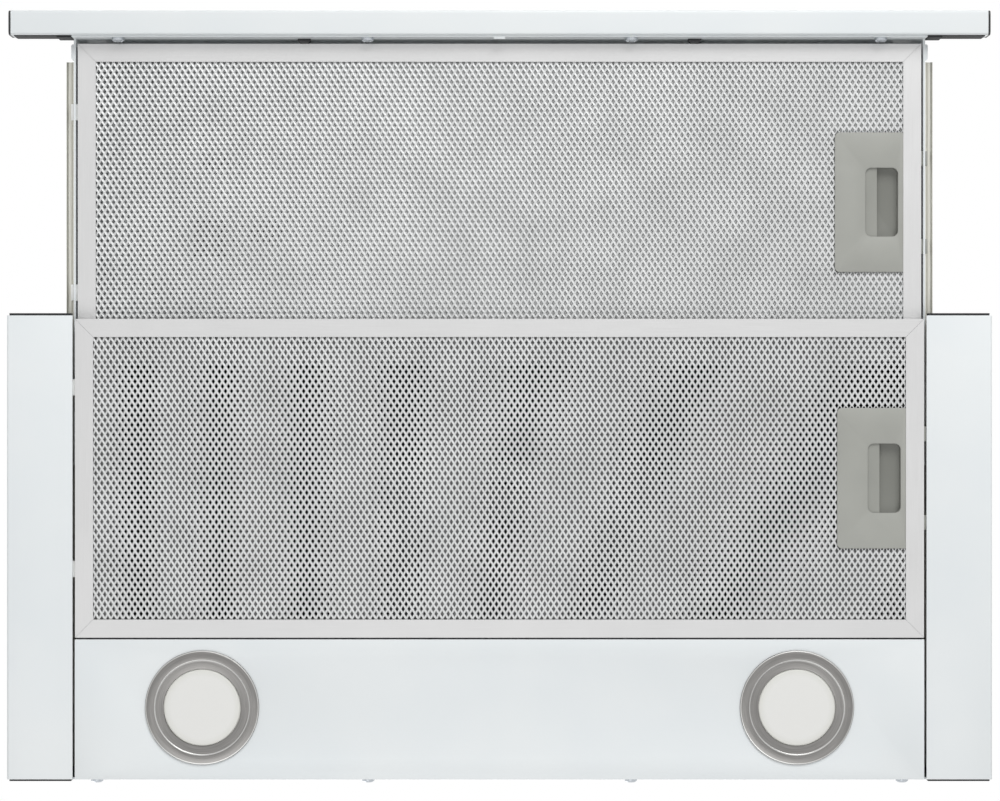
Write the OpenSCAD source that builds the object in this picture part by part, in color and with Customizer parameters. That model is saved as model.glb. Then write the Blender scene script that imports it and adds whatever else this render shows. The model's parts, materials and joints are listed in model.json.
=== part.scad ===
// Slide-out range hood that builds in under a wall cabinet.
// A fixed housing holds the blower, the lamps and a grease filter, and a drawer
// with a second grease filter runs out of it on ball slides.
// X points right, -Y is the front, +Z is up. The origin is the centre of the
// duct collar's mouth, and the drawer stands fully pulled out.

/* [Housing] */
// Width over the two side wings
hood_w = 600; // [500:1:760]
// Depth of the fixed housing, from the wings' front to the back wall
body_d = 282.5; // [236:0.5:360]
// Height of the rim that hangs below the cabinet
rim_h = 40; // [39:0.5:60]
// Height of the air chamber above the cabinet's underside
chamber_h = 35; // [30:1:70]
// Height of the blower box on top of the air chamber
box_h = 100; // [98:1:140]
// Width of each side wing
wing_w = 40; // [34:1:60]
// Thickness of the housing's steel sheet
sheet = 1.2; // [1:0.1:1.4]
// Distance from the duct's axis to the back wall's outer face
duct_back = 119; // [110:1:135]
// Thickness of the rubber strips on the wings' front ends
front_seal_t = 1.4; // [1:0.1:2]
// Thickness of the rubber strips on the wings' back ends
back_seal_t = 1.1; // [1:0.1:2]
// Distance between the two cabinet screws in each side wall
fix_spacing = 180; // [120:5:200]
// Radius of the cabinet screw holes
fix_r = 2.25; // [2:0.05:3]

/* [Light panel] */
// Depth of the light panel at the back
panel_d = 85.2; // [80:0.1:100]
// Height of the panel's folded flanges
panel_lip = 12.8; // [9:0.1:15]
// Distance of a lamp's centre from the hood's side
lamp_side = 119; // [100:1:130]
// Distance of a lamp's centre from the back wall
lamp_back = 43.8; // [40:0.1:48]
// Outer radius of a lamp's ring
ring_r = 34.75; // [32:0.25:38]
// Inner radius of the ring's bright face
ring_step_r = 28.3; // [26:0.1:29]
// Radius of the frosted lens
lens_r = 23.3; // [20:0.1:24]

/* [Drawer] */
// Travel of the drawer from closed to fully out
travel = 167.8; // [120:0.1:175]
// Thickness of the fascia bar, front to back
fascia_t = 15; // [14:0.5:25]
// Thickness of the fascia's steel sheet
fascia_sheet = 1; // [0.8:0.1:1.2]
// Width that each end of the fascia stays inside the hood's width
fascia_inset = 1; // [0.5:0.5:4]
// Thickness of a fascia end cap
cap_t = 1.3; // [1:0.1:3]
// Height of the return flange at the fascia's back
fascia_return = 18; // [14:0.5:24]
// Depth of the fascia's top flange
fascia_top_d = 9; // [7:0.5:12]
// Thickness of the rubber buffers on the fascia's back
fascia_seal_t = 1.4; // [1:0.1:3]
// Thickness of the drawer tray's sheet
tray_t = 1.2; // [1:0.1:1.4]
// Height of the drawer tray's side walls
tray_h = 24; // [22:0.5:26]
// Drop from the cabinet's underside to the tray's roof
tray_drop = 4; // [3.5:0.5:6]
// Length of the tray's arms that stay in the housing when the drawer is out
arm_l = 91.5; // [70:0.5:95]

/* [Ball slides] */
// Height of the outer slide rail
outer_rail_h = 20.6; // [20:0.2:22]
// Height of the inner slide rail
inner_rail_h = 14; // [13:0.2:15]
// Thickness of the rails' steel
rail_t = 1.5; // [1.2:0.1:1.6]
// Depth of the inner rail's flanges
inner_rail_d = 5.7; // [5:0.1:6]
// Space across both rails, from the tray to the housing's side wall
slide_w = 9.9; // [9:0.1:12]
// Radius of a slide's balls
ball_r = 1.75; // [1.5:0.05:1.8]
// Number of balls in a row
ball_count = 6; // [4:1:8]
// Length of a ball cage
cage_l = 70; // [60:1:80]

/* [Grease filters] */
// Gap between a cassette's side and the wing
cassette_gap = 1.55; // [1:0.05:2]
// Height of a cassette
cassette_h = 8.5; // [8.5:0.1:9.5]
// Width of the cassette's frame members
member_w = 11; // [10:0.5:14]
// Thickness of the frame's aluminium
member_t = 0.8; // [0.6:0.1:1]
// Step from the main filter's underside up to the drawer filter's
filter_step = 12; // [11.5:0.1:13]
// Distance between the two lugs
lug_spacing = 110.7; // [90:0.1:112]
// Length of a lug along the frame
lug_l = 10; // [8:0.5:12]
// Reach of a lug beyond the frame
lug_reach = 4.4; // [3.8:0.1:4.6]

/* [Filter latch] */
// Width of the latch plate
latch_w = 41.9; // [40:0.1:46]
// Length of the latch plate
latch_l = 85.6; // [80:0.1:90]
// Width of the finger pocket
pocket_w = 20; // [18:0.5:21]
// Length of the finger pocket
pocket_l = 42.2; // [36:0.1:44]
// Corner radius of the finger pocket
pocket_r = 3.7; // [2:0.1:5]
// Width of the slider's grip that shows in the pocket
grip_w = 7.3; // [6:0.1:8]
// Travel of the slider
latch_travel = 5.5; // [4.8:0.1:5.5]
// Reach of the tongues beyond the frame
tongue_reach = 4.1; // [3.5:0.1:4.4]

/* [Blower] */
// Radius of the impeller
impeller_r = 44; // [40:1:45]
// Width of the scroll housing
scroll_w = 100; // [90:1:104]
// Radius of the scroll at its tongue
scroll_r0 = 50; // [49:0.5:51]
// Radius of the scroll at its outlet
scroll_r1 = 72; // [66:0.5:73]
// Number of impeller blades
blade_count = 30; // [20:1:40]
// Radius of the motor
motor_r = 31; // [26:1:32]
// Length of the motor
motor_l = 40; // [34:1:41]
// Radius of the motor's shaft
shaft_r = 4; // [3:0.5:5]

/* [Duct] */
// Outer radius of the duct collar
collar_r = 59.8; // [55:0.1:62]
// Height of the duct collar
collar_h = 30; // [28:1:60]
// Wall of the duct collar
collar_t = 2.5; // [2.2:0.1:3]
// Radius of the flaps' pin
pin_r = 1.5; // [1.2:0.1:2]

/* [Controls] */
// Width of a button
button_w = 14; // [12:0.5:15]
// Height of a button
button_h = 9; // [7:0.5:10]
// Distance from button to button
button_pitch = 20; // [18:0.5:22]
// Travel of a button
button_travel = 1.5; // [1:0.1:1.8]

/* [Hidden] */
$fn = 48;
// clearances
fit = 0.05;      // a turning or sliding fit on a pin, shaft or screw
seat_gap = 0.3;  // a loose piece on the seat that carries it
cut = 1;         // overshoot of a cutting shape

// levels
box_top = -collar_h;
roof_z = box_top - box_h;
seat_z = roof_z - chamber_h;
bottom_z = seat_z - rim_h;
deck_z = bottom_z + sheet;

// housing plan
back_y = duct_back;
front_y = back_y - body_d;
bay_x = hood_w / 2 - wing_w;
tray_x = bay_x + 0.9;
wall_x = tray_x + slide_w + sheet;
mid_y = (front_y + back_y) / 2;
fix_z = seat_z + 20;

// light panel
panel_x = bay_x - 1.4;
panel_y = back_y - panel_d;
lamp_x = hood_w / 2 - lamp_side;
lamp_y = back_y - lamp_back;
panel_hole_r = ring_r - 3.75;
panel_screw_x = [bay_x - 14, 80.3];
panel_screw_z = bottom_z + 8;
screw_r = 2;
screw_head_r = 3.8;
screw_head_h = 2.5;

// drawer
stop_gap = 0.3;
fascia_back = front_y - front_seal_t - fascia_seal_t - stop_gap - travel;
fascia_front = fascia_back - fascia_t;
fascia_x = hood_w / 2 - fascia_inset - cap_t;
tray_top = seat_z - tray_drop;
tray_bottom = tray_top - tray_h;
flange_back = fascia_back + fascia_sheet;
fascia_screw_x = [bay_x - 27, 80.6];
fascia_screw_z = bottom_z + 7;
arm_end = front_y + arm_l;
bumper_reach = 1.6;
tray_rivet_x = bay_x - 27.5;
tray_rivet_y = [flange_back + 17.8, flange_back + 24.1];

// cassettes, each about the middle of its underside
cassette_x = bay_x - cassette_gap;
cassette_d = body_d - panel_d - 3.2;
main_filter_at = [0, front_y + 2.1 + cassette_d / 2, bottom_z];
drawer_filter_y = fascia_back + 4.1;
drawer_filter_at = [0, drawer_filter_y + cassette_d / 2, bottom_z + filter_step];
tray_back = drawer_filter_y + cassette_d + 2.2;
inner_x = cassette_x - member_w;
slab_in = 4;
bar_lo = sheet + seat_gap;
bar_hi = bar_lo + 3;
lug_y = lug_spacing / 2;

// latch, in its cassette's own position
latch_x = inner_x - latch_w;
pocket_x1 = inner_x - 3.2;
pocket_x0 = pocket_x1 - pocket_w;
grip_x = pocket_x0 + grip_w;
arm_y0 = pocket_l / 2 + 1.4;
arm_y1 = arm_y0 + 9;
latch_wall = 1.2;
bar_x0 = latch_x + latch_wall + latch_travel + 0.7;
tongue_x = cassette_x + tongue_reach;
pocket_floor = cassette_h - 2.5;
spring_y = 14;
spring_r = 1.5;
spring_wire = 0.35;
spring_x0 = latch_x + latch_wall;
spring_x1 = bar_x0 + 6;
spring_turns = 5;

// slides
rail_mid = drawer_filter_at[2] + bar_hi + 0.4 + outer_rail_h / 2;
ball_dz = inner_rail_h / 2 + 0.9;
ball_x = tray_x + 3.7;
groove_r = ball_r + 0.3;
rail_front = flange_back + 13.4;
outer_front = front_y + 1.5;
outer_back = back_y - sheet - 2;
cage_x = tray_x + inner_rail_d + 0.6;
cage_mid = arm_end - 55;
cage_t = 0.8;

// blower
box_x0 = -scroll_w / 2 - 30;
box_x1 = scroll_w / 2 + motor_l + 20;
box_y0 = -collar_r - 22;
box_y1 = back_y - 14;
box_t = 1;
axle_y = 38;
axle_z = box_top - 71;
scroll_t = 2;
tongue_a = 110;
outlet_a = -180;
bracket_t = 2;
hub_r = 10;
hub_l = 16;
disc_x = scroll_w / 2 - 14;
motor_x = scroll_w / 2 + bracket_t;

// duct
bore_r = collar_r - collar_t;
pin_z = -20;
flap_r = bore_r - 1;
flap_t = 1.4;
flap_z = pin_z - 2.2;
knuckle_r = pin_r + 1.1;

// electrics
term_lo = [box_x1 + 15, 50, roof_z];
term_size = [80, 55, 28];
term_wall = 2;
gland_at = [term_lo[0] + term_size[0], term_lo[1] + 28, roof_z + 14];
gland_r = 8;
cable_r = 4.1;
switch_lo = [tray_x - 14.9, back_y - sheet - 19.2, rail_mid - 9];
switch_size = [15, 19.2, 16];
plunger_r = 1.5;
plunger_travel = 1.2;

// controls, counted from the button nearest the hood's middle
button_x0 = bay_x - 10 - 3 * button_pitch;
button_z = (seat_z + bottom_z) / 2;
bezel_w = 3 * button_pitch + button_w + 12;
bezel_h = button_h + 8;
bezel_mid = button_x0 + 1.5 * button_pitch;
button_flange_z = 2.5;  // depth of the flange behind the button's face
button_flange_t = 0.9;
switch_front = fascia_back - fascia_sheet - 8.5;
stem_end = switch_front + 3.5;
stem_r = 2;

// ---- shared shapes ----

// A box between its lowest and highest corners
module block(lo, hi) {
    translate(lo) cube(hi - lo);
}

// The children and their mirror image on the left
module both_sides() {
    children();
    mirror([1, 0, 0]) children();
}

// A flat outline drawn in Y and Z, run along X
module along_x(x0, x1) {
    translate([x0, 0, 0]) rotate([90, 0, 90]) linear_extrude(x1 - x0) children();
}

// A flat outline drawn in X and Z, run along Y
module along_y(y0, y1) {
    translate([0, y1, 0]) rotate([90, 0, 0]) linear_extrude(y1 - y0) children();
}

// A rod along X or Y
module rod_x(x0, x1, r) {
    translate([x0, 0, 0]) rotate([0, 90, 0]) cylinder(h = x1 - x0, r = r);
}
module rod_y(y0, y1, r) {
    translate([0, y0, 0]) rotate([-90, 0, 0]) cylinder(h = y1 - y0, r = r);
}

// A flat rectangle with round corners, between two corner points
module round_rect(lo, hi, r) {
    translate([lo[0] + r, lo[1]]) square([hi[0] - lo[0] - 2 * r, hi[1] - lo[1]]);
    translate([lo[0], lo[1] + r]) square([hi[0] - lo[0], hi[1] - lo[1] - 2 * r]);
    for (x = [lo[0] + r, hi[0] - r], y = [lo[1] + r, hi[1] - r])
        translate([x, y]) circle(r);
}

// A pan-head screw that points along -Y, with its head's seat at y = 0
module pan_screw(shank_l) {
    difference() {
        union() {
            rod_y(-shank_l, 0, screw_r);
            rod_y(0, screw_head_h - 0.9, screw_head_r);
            translate([0, screw_head_h - 0.9, 0]) rotate([-90, 0, 0])
                cylinder(h = 0.9, r1 = screw_head_r, r2 = screw_head_r - 1.1);
        }
        for (a = [45, -45]) rotate([0, a, 0])
            translate([-2, screw_head_h - 1.2, -0.45]) cube([4, 2, 0.9]);
    }
}

// ---- fixed housing ----

module chassis() color("lightgray") difference() {
    union() {
        both_sides() block([wall_x - sheet, front_y, deck_z], [wall_x, back_y, roof_z]);
        block([-wall_x, back_y - sheet, deck_z], [wall_x, back_y, roof_z]);
        block([-wall_x, front_y, roof_z - sheet], [wall_x, back_y, roof_z]);
        block([-wall_x, front_y, seat_z - 3], [wall_x, front_y + sheet, roof_z]);
    }
    // opening under the blower
    block([box_x0 + 10, box_y0 + 10, roof_z - sheet - cut],
          [box_x1 - 10, box_y1 - 10, roof_z + cut]);
    // cable hole under the terminal box
    translate([term_lo[0] + 20, term_lo[1] + 20, roof_z - sheet - cut])
        cylinder(h = sheet + 2 * cut, r = 8);
    // cabinet screws
    both_sides() for (dy = [-fix_spacing / 2, fix_spacing / 2])
        translate([0, mid_y + dy, fix_z])
            rod_x(wall_x - sheet - cut, wall_x + cut, fix_r);
    // light panel screws
    both_sides() for (x = panel_screw_x) translate([x, 0, panel_screw_z])
        rod_y(back_y - sheet - cut, back_y + cut, screw_r + fit);
}

module motor_box() color("silver") difference() {
    union() {
        block([box_x0, box_y0, roof_z], [box_x1, box_y1, box_top]);
        block([box_x0 - 12, box_y0 - 12, roof_z], [box_x1 + 12, box_y1 + 12, roof_z + box_t]);
    }
    block([box_x0 + box_t, box_y0 + box_t, roof_z - cut],
          [box_x1 - box_t, box_y1 - box_t, box_top - box_t]);
    translate([0, 0, box_top - box_t - cut]) cylinder(h = box_t + 2 * cut, r = bore_r);
}

module light_panel() color("white") difference() {
    union() {
        block([-panel_x, panel_y, bottom_z], [panel_x, back_y, deck_z]);
        block([-panel_x, panel_y, bottom_z], [panel_x, panel_y + 1, deck_z + panel_lip - sheet]);
        block([-panel_x, back_y - 2 * sheet, bottom_z],
              [panel_x, back_y - sheet, deck_z + panel_lip]);
        both_sides() block([panel_x - sheet, panel_y, bottom_z],
                           [panel_x, back_y - sheet, deck_z + panel_lip - sheet]);
    }
    both_sides() translate([lamp_x, lamp_y, bottom_z - cut])
        cylinder(h = sheet + 2 * cut, r = panel_hole_r);
    both_sides() for (x = panel_screw_x) translate([x, 0, panel_screw_z])
        rod_y(back_y - 2 * sheet - cut, back_y - sheet + cut, screw_r + fit);
}

// Folded side filler: a bottom plate, an outer wall, a top flange and two ends
module wing() {
    along_y(front_y, back_y) {
        translate([bay_x, bottom_z]) square([wing_w - 1.5, sheet]);
        translate([hood_w / 2 - 1.5, bottom_z + 1.5]) circle(1.5);
        translate([hood_w / 2 - sheet, bottom_z + 1.5]) square([sheet, rim_h - 1.5]);
        translate([wall_x, seat_z - sheet])
            square([hood_w / 2 - wall_x, sheet]);
    }
    for (y = [front_y, back_y - sheet])
        block([wall_x, y, bottom_z + 0.5], [hood_w / 2 - 0.5, y + sheet, seat_z - 0.5]);
}
module right_wing() color("white") wing();
module left_wing() color("white") mirror([1, 0, 0]) wing();

// Rubber strips on the wings' ends
module wing_seal(y0, y1) {
    block([wall_x + 0.5, y0, bottom_z + 1], [hood_w / 2 - 1.5, y1, seat_z - 1]);
    block([bay_x + 1, y0, bottom_z + 1], [wall_x + 0.5, y1, bottom_z + 7]);
}
module wing_seals() color("black") both_sides() {
    wing_seal(front_y - front_seal_t, front_y);
    wing_seal(back_y, back_y + back_seal_t);
}

module panel_screws() color("silver") both_sides()
    for (x = panel_screw_x) translate([x, back_y, panel_screw_z]) pan_screw(10);

// ---- lamps ----

module at_lamps() both_sides() translate([lamp_x, lamp_y, bottom_z]) children();

// Brushed ring: a flat outer face, a step and a lip under the lens
module lamp_rings() color("silver") at_lamps() rotate_extrude($fn = 96)
    polygon([[ring_step_r + 0.6, -1.2], [ring_r - 0.4, -1.2], [ring_r, -0.8], [ring_r, 0],
             [panel_hole_r - 0.5, 0], [panel_hole_r - 0.5, 6], [27, 6], [27, 0.4],
             [lens_r + 0.2, 0.4], [lens_r + 0.2, -0.6], [ring_step_r, -0.6]]);

module lamp_lenses() color("white") at_lamps() {
    translate([0, 0, -0.5]) cylinder(h = 1.2, r = lens_r);
    translate([0, 0, 0.4]) cylinder(h = 1.6, r = 26.5);
}

module lamp_cans() color("gray") at_lamps() difference() {
    translate([0, 0, 6]) cylinder(h = 19, r = panel_hole_r - 0.5);
    translate([0, 0, 6 - cut]) cylinder(h = 14.6 + cut, r = panel_hole_r - 2.5);
}

module led_boards() color("whitesmoke") at_lamps() {
    translate([0, 0, 19]) cylinder(h = 1.6, r = panel_hole_r - 2.6);
    for (a = [0:60:300]) rotate([0, 0, a]) translate([14, -1.75, 18.2])
        cube([3.5, 3.5, 0.8]);
}

// ---- ball slides ----

module ball_grooves() for (s = [-1, 1])
    translate([ball_x, rail_mid + s * ball_dz]) circle(groove_r);

module outer_rail() along_y(outer_front, outer_back) difference() {
    translate([tray_x + 2, rail_mid - outer_rail_h / 2])
        square([slide_w - 2, outer_rail_h]);
    translate([tray_x, rail_mid - outer_rail_h / 2 + rail_t])
        square([slide_w - 1.2, outer_rail_h - 2 * rail_t]);
    ball_grooves();
}
module outer_rail_right() color("silver") outer_rail();
module outer_rail_left() color("silver") mirror([1, 0, 0]) outer_rail();

module inner_rail() along_y(rail_front, arm_end) difference() {
    translate([tray_x, rail_mid - inner_rail_h / 2]) square([inner_rail_d, inner_rail_h]);
    translate([tray_x + 1.2, rail_mid - inner_rail_h / 2 + rail_t])
        square([inner_rail_d, inner_rail_h - 2 * rail_t]);
    ball_grooves();
}
module inner_rail_right() color("silver") inner_rail();
module inner_rail_left() color("silver") mirror([1, 0, 0]) inner_rail();

// Strip that spaces the balls, with the balls loose in its holes
module ball_cage() {
    y0 = cage_mid - cage_l / 2;
    pitch = (cage_l - 10) / (ball_count - 1);
    difference() {
        along_y(y0, y0 + cage_l) difference() {
            translate([tray_x + 2.2, rail_mid - ball_dz - 0.3])
                square([cage_x + cage_t - tray_x - 2.2, 2 * ball_dz + 0.6]);
            translate([tray_x, rail_mid - ball_dz + 0.3])
                square([cage_x - tray_x, 2 * ball_dz - 0.6]);
        }
        for (i = [0:ball_count - 1]) translate([ball_x, y0 + 5 + i * pitch, rail_mid - 20])
            cylinder(h = 40, r = ball_r + 0.1);
    }
    for (i = [0:ball_count - 1], s = [-1, 1])
        translate([ball_x, y0 + 5 + i * pitch, rail_mid + s * ball_dz])
            sphere(ball_r, $fn = 24);
}
module ball_cage_right() color("gold") ball_cage();
module ball_cage_left() color("gold") mirror([1, 0, 0]) ball_cage();

// ---- grease filter cassettes, drawn about the middle of the underside ----

// One mitred U member along X: its back to -Y, length 2 * half
module member_x(half, depth) intersection() {
    difference() {
        block([-half, -depth, 0], [half, -depth + member_w, cassette_h]);
        block([-half - cut, -depth + member_t, member_t],
              [half + cut, -depth + member_w + cut, cassette_h - member_t]);
    }
    translate([0, 0, -cut]) linear_extrude(cassette_h + 2 * cut)
        polygon([[-half, -depth], [half, -depth],
                 [half - member_w, -depth + member_w], [member_w - half, -depth + member_w]]);
}

module cassette_frame() {
    half_d = cassette_d / 2;
    difference() {
        union() {
            member_x(cassette_x, half_d);
            mirror([0, 1, 0]) member_x(cassette_x, half_d);
            rotate([0, 0, 90]) member_x(half_d, cassette_x);
            rotate([0, 0, -90]) member_x(half_d, cassette_x);
        }
        // mitre joints
        for (sx = [-1, 1], sy = [-1, 1]) translate([sx * cassette_x, sy * half_d, -cut])
            rotate([0, 0, sx * sy * 45 + (sx > 0 ? 180 : 0)])
                translate([-cut, -0.05, 0]) cube([2 * member_w, 0.1, cassette_h + 2 * cut]);
        // slots for the lugs and the tongues
        for (s = [-1, 1]) {
            block([-cassette_x - cut, s * lug_y - lug_l / 2 - fit, bar_lo - fit],
                  [-cassette_x + member_t + cut, s * lug_y + lug_l / 2 + fit, bar_hi + fit]);
            translate([0, s * (arm_y0 + arm_y1) / 2, 0])
                block([cassette_x - member_t - cut, arm_y0 / 2 - arm_y1 / 2 - 0.3, bar_lo - 0.3],
                      [cassette_x + cut, arm_y1 / 2 - arm_y0 / 2 + 0.3, bar_hi + 0.3]);
        }
    }
}

module cassette_mesh() difference() {
    block([-cassette_x + slab_in, -cassette_d / 2 + slab_in, member_t],
          [cassette_x - slab_in, cassette_d / 2 - slab_in, cassette_h - member_t]);
    block([latch_x, -latch_l / 2, 0], [cassette_x, latch_l / 2, cassette_h]);
}

module cassette_lugs() for (s = [-1, 1]) translate([-cassette_x, s * lug_y, 0]) {
    block([-lug_reach, -lug_l / 2, bar_lo], [member_t + 1.2, lug_l / 2, bar_hi]);
    block([member_t, -lug_l / 2 - 2, member_t], [member_t + 1.2, lug_l / 2 + 2, bar_hi + 1.5]);
}

// Latch plate with its finger pocket; the slider runs between plate and back
module latch_housing() difference() {
    linear_extrude(cassette_h) {
        round_rect([latch_x, -latch_l / 2], [inner_x, latch_l / 2], 3);
        translate([inner_x - 6, -latch_l / 2]) square([6, latch_l]);
    }
    // window of the pocket
    translate([0, 0, -cut]) linear_extrude(sheet + cut + 0.5)
        round_rect([pocket_x0, -pocket_l / 2], [pocket_x1, pocket_l / 2], pocket_r);
    // recess for the fingertip
    translate([0, 0, sheet]) linear_extrude(pocket_floor - sheet)
        round_rect([grip_x - 4, -pocket_l / 2], [pocket_x1, pocket_l / 2], pocket_r);
    // run of the slider's bar and arms
    block([latch_x + latch_wall, -arm_y1 - 0.5, sheet], [grip_x + 0.3, arm_y1 + 0.5, bar_hi + 0.5]);
    block([latch_x + 9, -pocket_l / 2, sheet], [grip_x + 0.3, pocket_l / 2, pocket_floor]);
    for (s = [-1, 1]) translate([0, s * (arm_y0 + arm_y1) / 2, 0])
        block([grip_x, arm_y0 / 2 - arm_y1 / 2 - 0.5, sheet],
              [inner_x + cut, arm_y1 / 2 - arm_y0 / 2 + 0.5, bar_hi + 0.5]);
}

// U-shaped slider: a bar with a grip edge and two arms that end in the tongues
module latch_slider() {
    difference() {
        block([bar_x0, -arm_y1, bar_lo], [grip_x, arm_y1, bar_hi]);
        for (s = [-1, 1])
            block([bar_x0 - cut, s * spring_y - 2.2, bar_lo - cut],
                  [spring_x1, s * spring_y + 2.2, bar_hi + cut]);
    }
    block([grip_x - 1.6, -pocket_l / 2 + 0.6, bar_hi],
          [grip_x, pocket_l / 2 - 0.6, pocket_floor - 0.4]);
    for (s = [-1, 1]) translate([0, s * (arm_y0 + arm_y1) / 2, 0])
        block([grip_x - 1, arm_y0 / 2 - arm_y1 / 2, bar_lo],
              [tongue_x, arm_y1 / 2 - arm_y0 / 2, bar_hi]);
}

// One coil spring along X, swept round its helix
module coil_spring(x0, x1) {
    per_turn = 10;
    steps = spring_turns * per_turn;
    sides = 6;
    function ring(i) = [for (k = [0:sides - 1])
        let (t = i * 360 / per_turn, a = k * 360 / sides,
             r = spring_r + spring_wire * cos(a))
        [x0 + (x1 - x0) * i / steps + spring_wire * sin(a), r * cos(t), r * sin(t)]];
    points = [for (i = [0:steps]) each ring(i)];
    walls = [for (i = [0:steps - 1], k = [0:sides - 1])
        let (a = i * sides + k, b = i * sides + (k + 1) % sides)
        each [[a, b, b + sides], [a, b + sides, a + sides]]];
    ends = [for (k = [1:sides - 2]) each
        [[0, k + 1, k], [steps * sides, steps * sides + k, steps * sides + k + 1]]];
    polyhedron(points, concat(walls, ends), convexity = 10);
}
module latch_springs() for (s = [-1, 1])
    translate([0, s * spring_y, (bar_lo + bar_hi) / 2])
        coil_spring(spring_x0 + 0.4, spring_x1 - 0.4);

module main_filter_frame() color("silver") translate(main_filter_at) cassette_frame();
module main_filter_mesh() color("silver") translate(main_filter_at) cassette_mesh();
module main_filter_lugs() color("whitesmoke") translate(main_filter_at) cassette_lugs();
module main_latch_housing() color("darkgray") translate(main_filter_at) latch_housing();
module main_latch_slider() color("darkgray") translate(main_filter_at) latch_slider();
module main_latch_springs() color("silver") translate(main_filter_at) latch_springs();
module drawer_filter_frame() color("silver") translate(drawer_filter_at) cassette_frame();
module drawer_filter_mesh() color("silver") translate(drawer_filter_at) cassette_mesh();
module drawer_filter_lugs() color("whitesmoke") translate(drawer_filter_at) cassette_lugs();
module drawer_latch_housing() color("darkgray") translate(drawer_filter_at) latch_housing();
module drawer_latch_slider() color("darkgray") translate(drawer_filter_at) latch_slider();
module drawer_latch_springs() color("silver") translate(drawer_filter_at) latch_springs();

// ---- drawer ----

module drawer_tray() color("white") difference() {
    union() {
        block([-tray_x, fascia_back, fascia_screw_z - 5], [tray_x, flange_back, tray_top]);
        block([-tray_x, fascia_back, tray_top - tray_t], [tray_x, tray_back, tray_top]);
        both_sides() block([tray_x - tray_t, fascia_back, tray_bottom],
                           [tray_x, arm_end, tray_top]);
        // round bumpers in front of the slides
        both_sides() tray_bumper(flange_back + 3.4, flange_back + 13);
        // tab that meets the drawer switch
        block([switch_lo[0] + 1, arm_end - tray_t, rail_mid - 8], [tray_x, arm_end, rail_mid + 6]);
        // tongue at the seam with the fascia
        block([-3.4, fascia_back, fascia_screw_z - 5], [3.4, flange_back + 1.2, fascia_screw_z - 3]);
    }
    for (s = [-1, 1]) {
        translate(drawer_filter_at) {
            block([-tray_x - cassette_gap, s * lug_y - lug_l / 2 - 0.3, bar_lo - 0.3],
                  [-tray_x + tray_t + 0.3, s * lug_y + lug_l / 2 + 0.3, bar_hi + 0.3]);
            translate([0, s * (arm_y0 + arm_y1) / 2, 0])
                block([tray_x - tray_t - 0.3, arm_y0 / 2 - arm_y1 / 2 - 0.5, bar_lo - 0.3],
                      [tray_x + cut, arm_y1 / 2 - arm_y0 / 2 + 0.5, bar_hi + 0.3]);
        }
    }
    both_sides() for (x = fascia_screw_x) translate([x, 0, fascia_screw_z])
        rod_y(fascia_back - cut, flange_back + cut, screw_r + fit);
    both_sides() for (dy = tray_rivet_y) translate([tray_rivet_x, dy, tray_top - tray_t - cut])
        cylinder(h = tray_t + 2 * cut, r = 1.5 + fit);
    // wiring cut-outs and corner slots in the roof
    translate([0, 0, tray_top - tray_t - cut]) linear_extrude(tray_t + 2 * cut) {
        translate([-185, flange_back + 69]) square([18, 9]);
        round_rect([-190, flange_back + 109], [-169, flange_back + 134], 2);
        translate([-149, flange_back + 117.5]) circle(7);
        translate([-149, flange_back + 110.5]) square([8, 14]);
        translate([-141, flange_back + 117.5]) circle(7);
        for (s = [-1, 1]) translate([s * (bay_x - 11), flange_back + 4])
            round_rect([-6, -1.6], [6, 1.6], 1.5);
    }
}
// A round-ended strip on the tray's side wall, from y0 to y1
module tray_bumper(y0, y1) {
    top = tray_top - 6;
    block([tray_x - tray_t, y0 + tray_t, tray_bottom], [tray_x + bumper_reach, y1 - tray_t, top]);
    for (y = [y0 + tray_t, y1 - tray_t])
        translate([tray_x + bumper_reach - tray_t, y, tray_bottom])
            cylinder(h = top - tray_bottom, r = tray_t);
}

module tray_rivets() color("white") both_sides() for (y = tray_rivet_y)
    translate([tray_rivet_x, y, tray_top - tray_t]) {
        translate([0, 0, -1.2]) cylinder(h = 1.2, r = 2.4);
        cylinder(h = tray_t + 0.6, r = 1.5);
    }

// Folded channel: a full-height front, a top flange, and a floor that ends in a return
module fascia() color("white") difference() {
    along_x(-fascia_x, fascia_x) difference() {
        round_rect([fascia_front, bottom_z], [fascia_back, seat_z], 1.5);
        translate([fascia_front + fascia_sheet, bottom_z + fascia_sheet])
            square([fascia_t - 2 * fascia_sheet, rim_h - 2 * fascia_sheet]);
        translate([fascia_back - 2 * fascia_sheet, bottom_z + fascia_return])
            square([2 * fascia_sheet + cut, rim_h]);
        translate([fascia_front + fascia_top_d, seat_z - fascia_sheet - cut])
            square([fascia_t, fascia_sheet + 2 * cut]);
    }
    block([bezel_mid - bezel_w / 2, fascia_front - cut, button_z - bezel_h / 2],
          [bezel_mid + bezel_w / 2, fascia_front + fascia_sheet + 0.5, button_z + bezel_h / 2]);
    both_sides() for (x = fascia_screw_x) translate([x, 0, fascia_screw_z])
        rod_y(fascia_back - fascia_sheet - 0.5, fascia_back + cut, screw_r + fit);
}

module fascia_end_caps() color("black") both_sides() {
    along_x(fascia_x, fascia_x + cap_t) {
        round_rect([fascia_front, bottom_z], [fascia_back, bottom_z + fascia_return], 2.5);
        round_rect([fascia_front, bottom_z], [fascia_front + fascia_top_d, seat_z], 2.5);
    }
    // plug that fits inside the channel
    difference() {
        block([fascia_x - 8, fascia_front + fascia_sheet + 0.1, bottom_z + fascia_sheet + 0.1],
              [fascia_x, fascia_back - fascia_sheet - 0.1, bottom_z + fascia_return - 0.1]);
        block([fascia_x - 8 - cut, fascia_front + fascia_sheet + 1.6, bottom_z + fascia_sheet + 1.6],
              [fascia_x - 1.5, fascia_back - fascia_sheet - 1.6, bottom_z + fascia_return + cut]);
    }
}

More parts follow.
